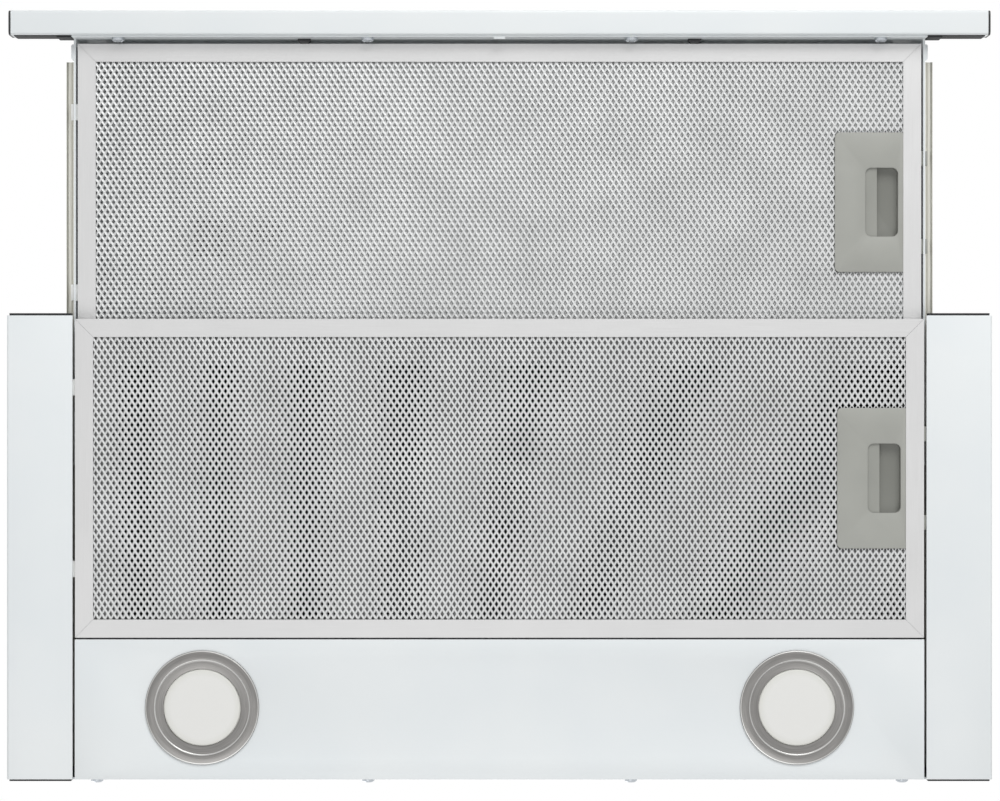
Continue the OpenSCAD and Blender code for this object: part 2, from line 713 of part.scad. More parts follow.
// Thin strip along the return, with a thicker buffer beside the tray that meets the wing
module fascia_seals() color("black") both_sides() {
    block([tray_x + 0.3, fascia_back, bottom_z + 2],
          [fascia_x - 1.7, fascia_back + 0.5, bottom_z + fascia_return - 1]);
    block([tray_x + 0.3, fascia_back, bottom_z + 2],
          [tray_x + 9, fascia_back + fascia_seal_t, bottom_z + fascia_return - 1]);
}

module fascia_screws() color("silver") both_sides() for (x = fascia_screw_x)
    translate([x, flange_back, fascia_screw_z]) pan_screw(7);

// Clips that guide the filter's front edge
module filter_clips() color("black") both_sides()
    translate([119.6, flange_back, tray_bottom - 1]) linear_extrude(5)
        polygon([[-4, 0], [4, 0], [4, 1.2], [2.4, 2.8], [-2.4, 2.8], [-4, 1.2]]);

// ---- controls ----

module button_bezel() color("dimgray") difference() {
    union() {
        block([bezel_mid - bezel_w / 2 + 0.2, fascia_front + 0.2, button_z - bezel_h / 2 + 0.2],
              [bezel_mid + bezel_w / 2 - 0.2, fascia_front + 2.2, button_z + bezel_h / 2 - 0.2]);
        block([bezel_mid - bezel_w / 2 - 2, fascia_front + fascia_sheet, button_z - bezel_h / 2 - 2],
              [bezel_mid + bezel_w / 2 + 2, fascia_front + 2.2, button_z + bezel_h / 2 + 2]);
    }
    for (i = [0:3]) translate([button_x0 + i * button_pitch, 0, button_z])
        block([-button_w / 2 - 0.3, fascia_front - cut, -button_h / 2 - 0.3],
              [button_w / 2 + 0.3, fascia_front + 3, button_h / 2 + 0.3]);
}

module button(i) color("whitesmoke")
    translate([button_x0 + i * button_pitch, fascia_front, button_z]) {
        along_y(0.3, button_flange_z) round_rect([-button_w / 2, -button_h / 2],
                                                 [button_w / 2, button_h / 2], 1.2);
        block([-button_w / 2 - 0.8, button_flange_z, -button_h / 2 - 0.8],
              [button_w / 2 + 0.8, button_flange_z + button_flange_t, button_h / 2 + 0.8]);
        rod_y(button_flange_z + button_flange_t, stem_end - fascia_front, stem_r);
    }
module button_light() button(0);
module button_low() button(1);
module button_medium() button(2);
module button_high() button(3);

module switch_block() color("darkslategray") difference() {
    block([bezel_mid - bezel_w / 2, switch_front, button_z - 7],
          [bezel_mid + bezel_w / 2, fascia_back - fascia_sheet, button_z + 7]);
    for (i = [0:3]) translate([button_x0 + i * button_pitch, 0, button_z])
        rod_y(switch_front - cut, stem_end + button_travel + 1.5, stem_r + 0.3);
}

module drawer_switch() color("black") difference() {
    block(switch_lo, switch_lo + switch_size);
    translate([switch_lo[0] + 8, 0, rail_mid - 1])
        rod_y(switch_lo[1] - cut, switch_lo[1] + 12, plunger_r + fit);
}

module switch_plunger() color("red") translate([switch_lo[0] + 8, 0, rail_mid - 1])
    rod_y(arm_end + travel + stop_gap, switch_lo[1] + 12 - plunger_travel - 0.3, plunger_r);

// ---- blower ----

function scroll_r(a) = scroll_r0 + (scroll_r1 - scroll_r0) * (tongue_a - a) / (tongue_a - outlet_a);

// Spiral with its outlet neck, drawn at the wall's outer or inner face
module scroll_outline(inset) {
    start = scroll_r0 - inset;
    polygon(concat(
        [for (a = [tongue_a:-10:outlet_a])
            [axle_y + (scroll_r(a) - inset) * cos(a), axle_z + (scroll_r(a) - inset) * sin(a)]],
        [[axle_y - scroll_r1 + inset, box_top - box_t + (inset > 0 ? cut : 0)],
         [axle_y + scroll_r0 * cos(tongue_a) - inset, box_top - box_t + (inset > 0 ? cut : 0)],
         [axle_y + scroll_r0 * cos(tongue_a) - inset, axle_z + start * sin(tongue_a)]]));
}

module scroll_half(x0, x1, wall_x0, hole_r) {
    difference() {
        along_x(x0, x1) scroll_outline(0);
        along_x(x0 - cut, x1 + cut) scroll_outline(scroll_t);
    }
    difference() {
        along_x(wall_x0, wall_x0 + scroll_t) scroll_outline(0);
        translate([0, axle_y, axle_z]) rod_x(wall_x0 - cut, wall_x0 + scroll_t + cut, hole_r);
    }
}
module scroll_left() color("dimgray")
    scroll_half(-scroll_w / 2, 0, -scroll_w / 2, impeller_r - 5);
module scroll_right() color("dimgray")
    scroll_half(0, scroll_w / 2, scroll_w / 2 - scroll_t, motor_r + 2);

module at_axle() translate([0, axle_y, axle_z]) children();

module impeller() color("gray") at_axle() difference() {
    union() {
        rod_x(disc_x, disc_x + 2, impeller_r);
        difference() {
            rod_x(6 - scroll_w / 2, 8 - scroll_w / 2, impeller_r);
            rod_x(5 - scroll_w / 2, 9 - scroll_w / 2, impeller_r - 9);
        }
        for (i = [0:blade_count - 1]) rotate([i * 360 / blade_count, 0, 0])
            translate([7 - scroll_w / 2, 0, impeller_r - 5]) rotate([35, 0, 0])
                translate([0, -0.5, -4.2]) cube([disc_x + scroll_w / 2 - 6, 1, 8]);
        rod_x(disc_x + 2 - hub_l, disc_x + 2, hub_r);
    }
    rod_x(disc_x - hub_l, disc_x + 4, shaft_r + fit);
}

module motor_shaft() color("silver") at_axle() {
    rod_x(disc_x - hub_l - 4, motor_x + motor_l + 2, shaft_r);
    rotate([0, 90, 0]) translate([0, 0, disc_x - hub_l - 2.5])
        cylinder(h = 4.5, r = shaft_r + 3, $fn = 6);
}

module motor_body() color("slategray") at_axle() difference() {
    union() {
        rod_x(motor_x, motor_x + 2, motor_r - 7);
        rod_x(motor_x + 2, motor_x + motor_l - 6, motor_r);
        rod_x(motor_x + motor_l - 6, motor_x + motor_l, motor_r - 9);
    }
    rod_x(motor_x - cut, motor_x + motor_l + cut, shaft_r + fit);
    for (a = [0:45:315]) rotate([a, 0, 0])
        block([motor_x + 8, -2, motor_r - 2], [motor_x + motor_l - 12, 2, motor_r + cut]);
}

module motor_bracket() color("silver") at_axle() difference() {
    rod_x(scroll_w / 2, scroll_w / 2 + bracket_t, motor_r + 10);
    rod_x(scroll_w / 2 - cut, scroll_w / 2 + bracket_t + cut, shaft_r + 8);
    for (a = [30:60:330]) rotate([a, 0, 0]) translate([0, 0, motor_r - 7])
        rod_x(scroll_w / 2 - cut, scroll_w / 2 + bracket_t + cut, 5);
}

module capacitor() color("lightgray")
    translate([box_x1 - box_t - 14.2, 0, box_top - box_t - 17]) {
        rod_y(20, 65, 14);
        for (dx = [-5, 5]) translate([dx, 0, 0]) rod_y(12, 20, 0.8);
    }

// ---- duct outlet ----

module duct_collar() color("dimgray") difference() {
    rotate_extrude($fn = 128)
        polygon([[bore_r, box_top], [collar_r + 14, box_top], [collar_r + 14, box_top + 2.5],
                 [collar_r, box_top + 2.5], [collar_r, 0], [bore_r, 0],
                 [bore_r, flap_z - 0.3], [bore_r - 3.5, flap_z - 0.3],
                 [bore_r - 3.5, flap_z - 2.3], [bore_r, flap_z - 2.3]]);
    translate([0, 0, pin_z]) rod_x(-collar_r + 0.8, collar_r - 0.8, pin_r + fit);
}

module flap_pin() color("silver") translate([0, 0, pin_z])
    rod_x(-collar_r + 1, collar_r - 1, pin_r);

// Half-round flap that lies on the collar's ledge; knuckles at the given places
module flap(knuckles, half_l) difference() {
    union() {
        intersection() {
            translate([0, 0, flap_z]) cylinder(h = flap_t, r = flap_r, $fn = 128);
            block([-flap_r, 3, flap_z - cut], [flap_r, flap_r, flap_z + flap_t + cut]);
        }
        for (x = knuckles) {
            block([x - half_l, 0, flap_z], [x + half_l, 3.5, flap_z + flap_t]);
            translate([0, 0, pin_z]) rod_x(x - half_l, x + half_l, knuckle_r);
        }
    }
    translate([0, 0, pin_z]) rod_x(-collar_r, collar_r, pin_r + fit);
}
module flap_rear() color("lightgray") flap([-11, 11], 8);
module flap_front() color("lightgray") mirror([0, 1, 0]) flap([-34, 34], 10);

// ---- electrics ----

module terminal_box() color("gray") difference() {
    block(term_lo, term_lo + term_size);
    block(term_lo + [term_wall, term_wall, term_wall],
          term_lo + term_size - [term_wall, term_wall, -cut]);
    translate([0, gland_at[1], gland_at[2]])
        rod_x(gland_at[0] - term_wall - cut, gland_at[0] + cut, gland_r + fit);
    translate([term_lo[0] + 20, term_lo[1] + 20, term_lo[2] - cut])
        cylinder(h = term_wall + 2 * cut, r = 8);
}

module terminal_lid() color("gray") difference() {
    block(term_lo + [0, 0, term_size[2]], term_lo + term_size + [0, 0, 2]);
    for (dx = [8, term_size[0] - 8]) translate(term_lo + [dx, term_size[1] / 2, term_size[2] + 1])
        cylinder(h = 2, r = 3);
}

module terminal_block() color("whitesmoke") difference() {
    block(term_lo + [40, 12, term_wall], term_lo + [56, 44, term_wall + 14]);
    for (i = [0:2]) translate(term_lo + [48, 18 + i * 10, term_wall + 8])
        cylinder(h = 7, r = 2.6);
}

module cable_gland() color("dimgray") translate([0, gland_at[1], gland_at[2]]) difference() {
    union() {
        rod_x(gland_at[0] - 6, gland_at[0], gland_r);
        translate([gland_at[0], 0, 0]) rotate([0, 90, 0])
            cylinder(h = 6, r = gland_r + 3.5, $fn = 6);
        rod_x(gland_at[0] + 6, gland_at[0] + 16, gland_r + 1);
    }
    rod_x(gland_at[0] - 6 - cut, gland_at[0] + 16 + cut, cable_r);
}

module led_driver() color("whitesmoke") translate([-bay_x + 40, 30, roof_z - sheet - 22]) {
    cube([60, 45, 22]);
    translate([-8, 15, 20]) cube([76, 15, 2]);
}

// ---- drawing ----

chassis();
motor_box();
light_panel();
left_wing();
right_wing();
wing_seals();
panel_screws();
lamp_rings();
lamp_lenses();
lamp_cans();
led_boards();
outer_rail_left();
outer_rail_right();
main_filter_frame();
main_filter_mesh();
main_filter_lugs();
main_latch_housing();
main_latch_springs();
scroll_left();
scroll_right();
motor_body();
motor_bracket();
capacitor();
terminal_box();
terminal_lid();
terminal_block();
cable_gland();
led_driver();
drawer_switch();
duct_collar();
flap_pin();
drawer_tray();
fascia();
fascia_end_caps();
fascia_seals();
fascia_screws();
filter_clips();
tray_rivets();
inner_rail_left();
inner_rail_right();
drawer_filter_frame();
drawer_filter_mesh();
drawer_filter_lugs();
drawer_latch_housing();
drawer_latch_springs();
button_bezel();
switch_block();
ball_cage_left();
ball_cage_right();
main_latch_slider();
drawer_latch_slider();
impeller();
motor_shaft();
flap_front();
flap_rear();
button_light();
button_low();
button_medium();
button_high();
switch_plunger();
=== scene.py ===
# Looks of a slide-out range hood, seen from below: powder-coated sheet, matt aluminium
# cassettes with two layers of expanded mesh, moulded grey latches, brushed lamp rings
# and a galvanised blower housing.
import json
import math

import bmesh
import bpy
from mathutils import Matrix, Vector


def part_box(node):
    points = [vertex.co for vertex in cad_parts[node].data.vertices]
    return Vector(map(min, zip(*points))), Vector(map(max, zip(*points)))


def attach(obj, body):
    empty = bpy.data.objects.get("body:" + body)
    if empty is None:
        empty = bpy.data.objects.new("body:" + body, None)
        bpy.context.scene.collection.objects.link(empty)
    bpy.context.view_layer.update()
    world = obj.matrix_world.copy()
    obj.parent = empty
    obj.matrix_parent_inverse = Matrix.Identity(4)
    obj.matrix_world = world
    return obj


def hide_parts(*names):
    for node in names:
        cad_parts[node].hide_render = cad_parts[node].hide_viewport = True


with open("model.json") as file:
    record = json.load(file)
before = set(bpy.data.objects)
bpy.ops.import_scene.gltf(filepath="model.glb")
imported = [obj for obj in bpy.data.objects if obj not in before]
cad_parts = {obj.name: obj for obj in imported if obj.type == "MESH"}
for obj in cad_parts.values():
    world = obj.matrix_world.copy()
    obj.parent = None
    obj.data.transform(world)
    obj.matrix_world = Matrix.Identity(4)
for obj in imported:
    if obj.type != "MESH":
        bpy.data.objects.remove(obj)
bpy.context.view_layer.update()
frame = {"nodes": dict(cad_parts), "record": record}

MM = 0.001
SLOT_OF = {part["node"]: part["material_slot"] for part in frame["record"]["subparts"]}
BODY_OF = {
    node: body
    for body, nodes in frame["record"]["behaviour"]["bodies"].items()
    for node in nodes
}

# Camera: straight below, with the drawer towards the top
EYE = Vector((0.3, -111.7, -1984.0)) * MM
LENS_MM = 105.2
SENSOR_MM = 36.0

# Studio
FLOOR_Z = -3.4
FLOOR_SIDE = 60.0
WORLD_SEEN = 1.0
WORLD_LIGHT = 0.5
FLOOR_SEEN = 1.0
FLOOR_GLOW_SHARE = 0.94  # the rest is the floor's own shade, with soft shadows
LIGHT_TARGET = Vector((0, -0.11, -0.15))

# Expanded mesh, in mm: a diamond hole every MESH_PITCH across, in staggered rows
MESH_PITCH = 3.67
MESH_ROW = 2.95
HOLE_HALF_W = 1.1
HOLE_HALF_H = 1.8
STRAND_TILT = 0.28
STRAND_T = 0.35
WELD_REACH = 0.02
HIDDEN_EDGE = 5.0
FRONT_LAYER_Z = 1.0
INNER_LAYER_Z = 3.1
# the sheets stop beside the latch plate: the front one under its edge, the inner one short of it
FRONT_UNDER_PLATE = 0.6
INNER_CLEAR_OF_PLATE = 1.2
# how each cassette's second layer is drawn out: stretch, bend and skew per mm, and the x in mm
# that stays; the skew grows over LEAN_REACH mm from there
INNER_DRAW = {
    "main_filter": (0.0641, -0.000069, 0.00015, -58.0),
    "drawer_filter": (0.0045, 0, 0, -330.0),
}
LEAN_REACH = 140.0

# Edges, in degrees between their faces
SMOOTH_BELOW = 32
SHARP_ABOVE = 35

# Lamps, in mm: where the ring steps down, where the lens starts and the edges between that carry a
# painted highlight
RING_STEP_R = 28.3
LENS_R = 23.3
RING_LIP_W = 4.25
PAINTED_HIGHLIGHT_EDGES = ((28.8, 0.35), (34.2, 0.25))
LAMP_STEPS = 96

# Fasteners, and the black sheet of painted shade over the tray's wiring cut-outs, in mm
RIVET_INSET = 6.0
RIVET_SHARES = (0.04, 0.35, 0.65, 0.96)
FLANGE_T = 1.0
COLLAR_SCREW_INSET = 6.5
COLLAR_FLANGE_T = 2.5
FASTENER_STEPS = 20
COVER_SIZE = (75, 84, 0.6)
COVER_X = -165
COVER_BEHIND_FASCIA = 104
COVER_LIFT = 0.35


# ---- colours and shader nodes ----

def linear(hex_colour):
    """An sRGB hex colour as linear RGBA."""
    parts = [int(hex_colour[i:i + 2], 16) / 255 for i in (1, 3, 5)]
    return [c / 12.92 if c <= 0.04045 else ((c + 0.055) / 1.055) ** 2.4 for c in parts] + [1.0]


def add(tree, kind, settings=None, **sockets):
    """Adds one node. A socket's name has _ for each space, or is _ and its number; a value is a
    number, a colour or an output to link from."""
    made = tree.nodes.new(kind)
    for name, value in (settings or {}).items():
        setattr(made, name, value)
    for name, value in sockets.items():
        where = made.inputs[int(name[1:]) if name[1:].isdigit() else name.replace("_", " ")]
        if isinstance(value, bpy.types.NodeSocket):
            tree.links.new(value, where)
        else:
            where.default_value = value
    return made


def material(name, base, roughness, metallic=0.0, **fixed):
    """A new material with its shader. Numbers that are the same all over are set on the shader."""
    made = bpy.data.materials.new(name)
    made.use_nodes = True
    tree = made.node_tree
    shader = tree.nodes["Principled BSDF"]
    shader.inputs["Base Color"].default_value = linear(base)
    shader.inputs["Roughness"].default_value = roughness
    shader.inputs["Metallic"].default_value = metallic
    for socket, value in fixed.items():
        shader.inputs[socket.replace("_", " ")].default_value = value
    return made, tree, shader


def place(tree, scale=(1, 1, 1), output="Object"):
    """The piece's own coordinates in metres, stretched by scale."""
    source = add(tree, "ShaderNodeTexCoord").outputs[output]
    return add(tree, "ShaderNodeMapping", Vector=source, Scale=scale).outputs["Vector"]


def noise(tree, where, size_mm, detail=2.0):
    """Noise with features of about size_mm."""
    return add(tree, "ShaderNodeTexNoise", Vector=where, Scale=1 / (size_mm * MM), Detail=detail,
               Roughness=0.5).outputs["Fac"]


def spread(tree, value, low, high, from_low=0.3, from_high=0.7):
    """Takes a pattern's middle range to low..high."""
    return add(tree, "ShaderNodeMapRange", Value=value, From_Min=from_low, From_Max=from_high,
               To_Min=low, To_Max=high).outputs["Result"]


def blend_colours(tree, amount, first, second):
    """A colour between two, by amount."""
    return add(tree, "ShaderNodeMix", {"data_type": "RGBA"}, Factor=amount, _6=first,
               _7=second).outputs[2]


def bump(tree, shader, height, distance_mm, strength=1.0):
    """Raises the surface by a pattern."""
    made = add(tree, "ShaderNodeBump", Height=height, Distance=distance_mm * MM, Strength=strength)
    tree.links.new(made.outputs["Normal"], shader.inputs["Normal"])


# ---- finishes ----

def powder_coat():
    """Smooth white powder coat on steel: an even satin skin with a faint orange peel."""
    made, tree, shader = material("powder_coat_white", "#E7ECED", 0.34, IOR=1.5)
    here = place(tree)
    peel = noise(tree, here, 2.5, 1.0)
    cloud = noise(tree, here, 60, 2.0)
    colour = blend_colours(tree, spread(tree, cloud, 0, 1), linear("#E5EAEC"), linear("#E9EDEE"))
    tree.links.new(colour, shader.inputs["Base Color"])
    tree.links.new(spread(tree, peel, 0.3, 0.38), shader.inputs["Roughness"])
    bump(tree, shader, peel, 0.02, 0.5)
    return made


def galvanised():
    """Hot-dip galvanised sheet: flat zinc crystals of 4 to 9 mm that each shine a little apart, painted
    dark inside the chassis as painted shade.
    """
    made, tree, shader = material("galvanised_steel", "#B4B8BA", 0.4, 1.0)
    here = place(tree)
    warp = add(tree, "ShaderNodeTexNoise", Vector=here, Scale=1 / (5 * MM), Detail=2.0)
    shifted = add(tree, "ShaderNodeVectorMath", {"operation": "MULTIPLY_ADD"}, _0=warp.outputs["Color"],
                  _1=(0.003, 0.003, 0.003), _2=here).outputs["Vector"]
    cell = add(tree, "ShaderNodeTexVoronoi", Vector=shifted, Scale=1 / (6.5 * MM))
    shade = add(tree, "ShaderNodeSeparateColor", Color=cell.outputs["Color"]).outputs["Red"]
    colour = blend_colours(tree, shade, linear("#A3A8AB"), linear("#B9BDBF"))
    # the faces inside the chassis are painted dark: painted shade standing in for the shadow inside the
    # chassis
    low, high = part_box("chassis")
    skin = Vector((1, 1, 1)) * 0.4 * MM
    reach = add(tree, "ShaderNodeVectorMath", {"operation": "SUBTRACT"}, _0=here, _1=(low + high) / 2)
    away = add(tree, "ShaderNodeVectorMath", {"operation": "ABSOLUTE"}, _0=reach.outputs["Vector"])
    past = add(tree, "ShaderNodeVectorMath", {"operation": "SUBTRACT"}, _0=away.outputs["Vector"],
               _1=(high - low) / 2 - skin)
    x, y, z = add(tree, "ShaderNodeSeparateXYZ", Vector=past.outputs["Vector"]).outputs
    most = add(tree, "ShaderNodeMath", {"operation": "MAXIMUM"}, _0=x, _1=y).outputs["Value"]
    most = add(tree, "ShaderNodeMath", {"operation": "MAXIMUM"}, _0=most, _1=z)
    inside = add(tree, "ShaderNodeMath", {"operation": "LESS_THAN"}, _0=most.outputs["Value"], _1=0.0)
    colour = blend_colours(tree, inside.outputs["Value"], colour, linear("#303234"))
    tree.links.new(colour, shader.inputs["Base Color"])
    tree.links.new(spread(tree, shade, 0.34, 0.5, 0, 1), shader.inputs["Roughness"])
    bump(tree, shader, noise(tree, here, 1.2), 0.01, 0.4)
    return made


def zinc_plate(name="bright_zinc_plate", base="#C2C7CC", roughness=0.3):
    """Bright zinc-plated steel: bluish, nearly a mirror, with fine drawing lines."""
    made, tree, shader = material(name, base, roughness, 1.0)
    grain = noise(tree, place(tree), 1.5, 3.0)
    tree.links.new(spread(tree, grain, roughness - 0.06, roughness + 0.08), shader.inputs["Roughness"])
    bump(tree, shader, noise(tree, place(tree), 0.3), 0.004, 0.4)
    return made


def rail_steel():
    """Roll-formed slide steel with yellowish zinc: fine lengthwise lines from the rolls."""
    made, tree, shader = material("rolled_zinc_rail", "#D2D1C8", 0.42, 1.0)
    lines = noise(tree, place(tree, (1, 0.01, 1)), 0.5, 3.0)
    colour = blend_colours(tree, spread(tree, lines, 0, 1), linear("#C6C5BC"), linear("#DDDCD4"))
    tree.links.new(colour, shader.inputs["Base Color"])
    tree.links.new(spread(tree, lines, 0.36, 0.5), shader.inputs["Roughness"])
    bump(tree, shader, lines, 0.01, 0.5)
    return made


def anodised_frame():
    """Matt anodised aluminium section: grain along each member."""
    made, tree, shader = material("anodised_aluminium", "#CDCDCD", 0.5, 1.0)
    grain = noise(tree, place(tree, (0.012, 1, 1), "UV"), 0.35, 3.0)
    cloud = noise(tree, place(tree), 45, 2.0)
    tone = add(tree, "ShaderNodeMath", {"operation": "MULTIPLY_ADD"}, _0=cloud, _1=0.5,
               _2=grain).outputs["Value"]
    share = spread(tree, tone, 0, 1, 0.5, 1.0)
    colour = blend_colours(tree, share, linear("#CBCBCB"), linear("#D3D3D3"))
    tree.links.new(colour, shader.inputs["Base Color"])
    tree.links.new(spread(tree, grain, 0.46, 0.56), shader.inputs["Roughness"])
    bump(tree, shader, grain, 0.006, 0.5)
    return made


def mesh_aluminium(name="expanded_aluminium", low="#C4C5C5", high="#CECFCF"):
    """Cut and stretched aluminium foil: bright, with sheared edges."""
    made, tree, shader = material(name, low, 0.48, 1.0)
    here = place(tree)
    cut = noise(tree, here, 0.6, 2.0)
    patch = noise(tree, here, 30, 2.0)
    colour = blend_colours(tree, spread(tree, patch, 0, 1), linear(low), linear(high))
    tree.links.new(colour, shader.inputs["Base Color"])
    tree.links.new(spread(tree, cut, 0.42, 0.56), shader.inputs["Roughness"])
    bump(tree, shader, cut, 0.03, 0.5)
    return made


def pocket_depth(tree, here):
    """0 at a latch's face and 1 deep in its pocket, for either cassette: how much painted shade the
    pocket gets.
    """
    main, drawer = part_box("main_latch_housing")[0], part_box("drawer_latch_housing")
    _, y, z = add(tree, "ShaderNodeSeparateXYZ", Vector=here).outputs
    ahead = add(tree, "ShaderNodeMath", {"operation": "LESS_THAN"}, _0=y, _1=drawer[1].y + 10 * MM)
    face = add(tree, "ShaderNodeMath", {"operation": "MULTIPLY_ADD"}, _0=ahead.outputs["Value"],
               _1=drawer[0].z - main.z, _2=main.z)
    depth = add(tree, "ShaderNodeMath", {"operation": "SUBTRACT"}, _0=z, _1=face.outputs["Value"])
    return spread(tree, depth.outputs["Value"], 0, 1, 0.4 * MM, 4.5 * MM)


def moulded(name, base, roughness, grain_mm=0.6, pocket_shade=None):
    """Injection-moulded plastic: an eroded grain from the tool and faint flow clouds, 4 % darker
    and lighter. A latch's pocket gets painted shade: a darker colour fades in towards its floor."""
    made, tree, shader = material(name, base, roughness)
    here = place(tree)
    grain = noise(tree, here, grain_mm, 2.0)
    flow = noise(tree, here, 25, 2.0)
    full = linear(base)
    dim = [c * 0.96 for c in full[:3]] + [1.0]
    bright = [min(1, c * 1.04) for c in full[:3]] + [1.0]
    colour = blend_colours(tree, spread(tree, flow, 0, 1), dim, bright)
    # painted shade: the latch pocket darkens towards its floor
    if pocket_shade:
        colour = blend_colours(tree, pocket_depth(tree, here), colour, linear(pocket_shade))
    tree.links.new(colour, shader.inputs["Base Color"])
    tree.links.new(spread(tree, grain, roughness - 0.04, roughness + 0.06), shader.inputs["Roughness"])
    bump(tree, shader, grain, 0.02, 0.6)
    return made


def brushed_ring():
    """Spun and brushed stainless steel: fine rings round the lamp that stretch the highlights."""
    made, tree, shader = material("brushed_stainless", "#8E8D8B", 0.38, 1.0, Anisotropic=0.15)
    lines = noise(tree, place(tree, (0.02, 1, 1), "UV"), 0.35, 3.0)
    colour = blend_colours(tree, spread(tree, lines, 0, 1), linear("#7C7B79"), linear("#918F8D"))
    # the step's edge and the rim's edge carry a painted highlight, a lighter band in the colour
    radius = add(tree, "ShaderNodeSeparateXYZ", Vector=place(tree, output="UV")).outputs["Y"]
    for edge, half in PAINTED_HIGHLIGHT_EDGES:
        away = add(tree, "ShaderNodeMath", {"operation": "SUBTRACT"}, _0=radius, _1=edge * MM)
        away = add(tree, "ShaderNodeMath", {"operation": "ABSOLUTE"}, _0=away.outputs["Value"])
        bright = spread(tree, away.outputs["Value"], 1, 0, half * 0.8 * MM, half * 1.2 * MM)
        colour = blend_colours(tree, bright, colour, linear("#C6C6C4"))
    tree.links.new(colour, shader.inputs["Base Color"])
    tree.links.new(spread(tree, lines, 0.3, 0.44), shader.inputs["Roughness"])
    tangent = add(tree, "ShaderNodeTangent", {"direction_type": "UV_MAP"})
    tree.links.new(tangent.outputs["Tangent"], shader.inputs["Tangent"])
    bump(tree, shader, lines, 0.01, 0.6)
    return made


def frosted_lens():
    """Opal polycarbonate: a milky diffuser, with painted shade making it a touch darker where it meets
    the ring.
    """
    made, tree, shader = material("opal_polycarbonate", "#E4E4E1", 0.45, 0.0, IOR=1.58)
    radius = add(tree, "ShaderNodeSeparateXYZ", Vector=place(tree, output="UV")).outputs["Y"]
    # painted shade towards the ring
    rim = spread(tree, radius, 0, 1, 19 * MM, LENS_R * MM)
    colour = blend_colours(tree, rim, linear("#E6E6E3"), linear("#DCDCD6"))
    tree.links.new(colour, shader.inputs["Base Color"])
    frost = noise(tree, place(tree), 0.5, 2.0)
    tree.links.new(spread(tree, frost, 0.4, 0.5), shader.inputs["Roughness"])
    bump(tree, shader, frost, 0.01, 0.4)
    return made


def painted_metal(name, base, roughness, metallic=0.6):
    """Sprayed or phosphated steel with a soft metallic sheen."""
    made, tree, shader = material(name, base, roughness, metallic)
    fleck = noise(tree, place(tree), 1.0, 3.0)
    full = linear(base)
    dim = [c * 0.92 for c in full[:3]] + [1.0]
    colour = blend_colours(tree, spread(tree, fleck, 0, 1), dim, full)
    tree.links.new(colour, shader.inputs["Base Color"])
    tree.links.new(spread(tree, fleck, roughness - 0.05, roughness + 0.05), shader.inputs["Roughness"])
    bump(tree, shader, fleck, 0.01, 0.4)
    return made


FINISHES = {
    "galvanised_sheet": galvanised(),
    "white_paint": powder_coat(),
    "black_rubber": moulded("black_rubber", "#1B1C1E", 0.72, 0.4),
    "zinc_screws": zinc_plate(),
    "brushed_ring": brushed_ring(),
    "frosted_lens": frosted_lens(),
    "lamp_metal": painted_metal("die_cast_grey", "#8F9294", 0.45),
    "board_white": moulded("solder_mask_white", "#E8E9E4", 0.4, 1.0),
    "rail_zinc": rail_steel(),
    "filter_frame_aluminium": anodised_frame(),
    "mesh_aluminium": mesh_aluminium(),
    "lug_white": moulded("lug_nylon", "#E3E4E2", 0.45),
    # the latch pocket's darker colour is painted shade that deepens towards its floor
    "latch_grey": moulded("latch_abs_grey", "#A3A49E", 0.46, pocket_shade="#7C7D77"),
    "latch_slider_grey": moulded("slider_abs_grey", "#989993", 0.46),
    "spring_steel": zinc_plate("spring_wire", "#B0B2B4", 0.25),
    "scroll_plastic": moulded("scroll_pp_grey", "#4B4E51", 0.5, 0.8),
    "motor_steel": painted_metal("motor_shell", "#6D7276", 0.42, 0.8),
    "capacitor_case": moulded("capacitor_shell", "#C9CACB", 0.35),
    "box_plastic": moulded("terminal_box_grey", "#6C6F72", 0.5),
    "terminal_white": moulded("terminal_polyamide", "#E4E3DC", 0.45),
    "gland_plastic": moulded("gland_polyamide", "#3C3E40", 0.48),
    "driver_white": moulded("driver_shell", "#E2E3E2", 0.42),
    "switch_black": moulded("switch_phenolic", "#232427", 0.5),
    "collar_plastic": moulded("collar_pp_grey", "#43464A", 0.5, 0.8),
    "pin_steel": zinc_plate("pin_steel", "#B4B6B8", 0.28),
    "cap_black": moulded("cap_abs_black", "#1E1F21", 0.42),
    "rivet_white": moulded("rivet_nylon", "#EEF0F0", 0.4),
    "bezel_grey": moulded("bezel_abs_grey", "#7D8083", 0.42),
    "cage_brass": painted_metal("cage_brass", "#B69A5C", 0.38, 1.0),
    "impeller_plastic": moulded("impeller_pa_grey", "#7A7D80", 0.45),
    "shaft_steel": zinc_plate("ground_shaft", "#B8BABC", 0.22),
    "flap_plastic": moulded("flap_ps_grey", "#BFC1C2", 0.42),
    "button_white": moulded("button_abs_white", "#E7E9E9", 0.4),
    "plunger_red": moulded("plunger_red", "#B3322C", 0.4),
}
# the housing's second layer is a darker copy of the same foil: painted shade behind the front layer
SHADE_PAINTED_MESH = mesh_aluminium("expanded_aluminium_dull", "#808181", "#8C8D8D")


# ---- pieces ----

def show(mesh, name, body, slot, *nodes):
    """Makes a piece of a mesh that is already in place. It rides on a body and stands for nodes."""
    piece = bpy.data.objects.new(name, mesh)
    bpy.context.scene.collection.objects.link(piece)
    if not mesh.materials:
        mesh.materials.append(FINISHES[slot])
    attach(piece, body)
    if nodes:
        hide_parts(*nodes)


def merged(node):
    """A CAD node's mesh with its corners joined and its flat faces whole, to work on."""
    shape = bmesh.new()
    shape.from_mesh(frame["nodes"][node].data)
    bmesh.ops.remove_doubles(shape, verts=shape.verts, dist=1e-6)
    bmesh.ops.dissolve_degenerate(shape, dist=1e-6, edges=shape.edges)
    bmesh.ops.dissolve_limit(shape, angle_limit=math.radians(0.5), verts=shape.verts,
                             edges=shape.edges)
    return shape


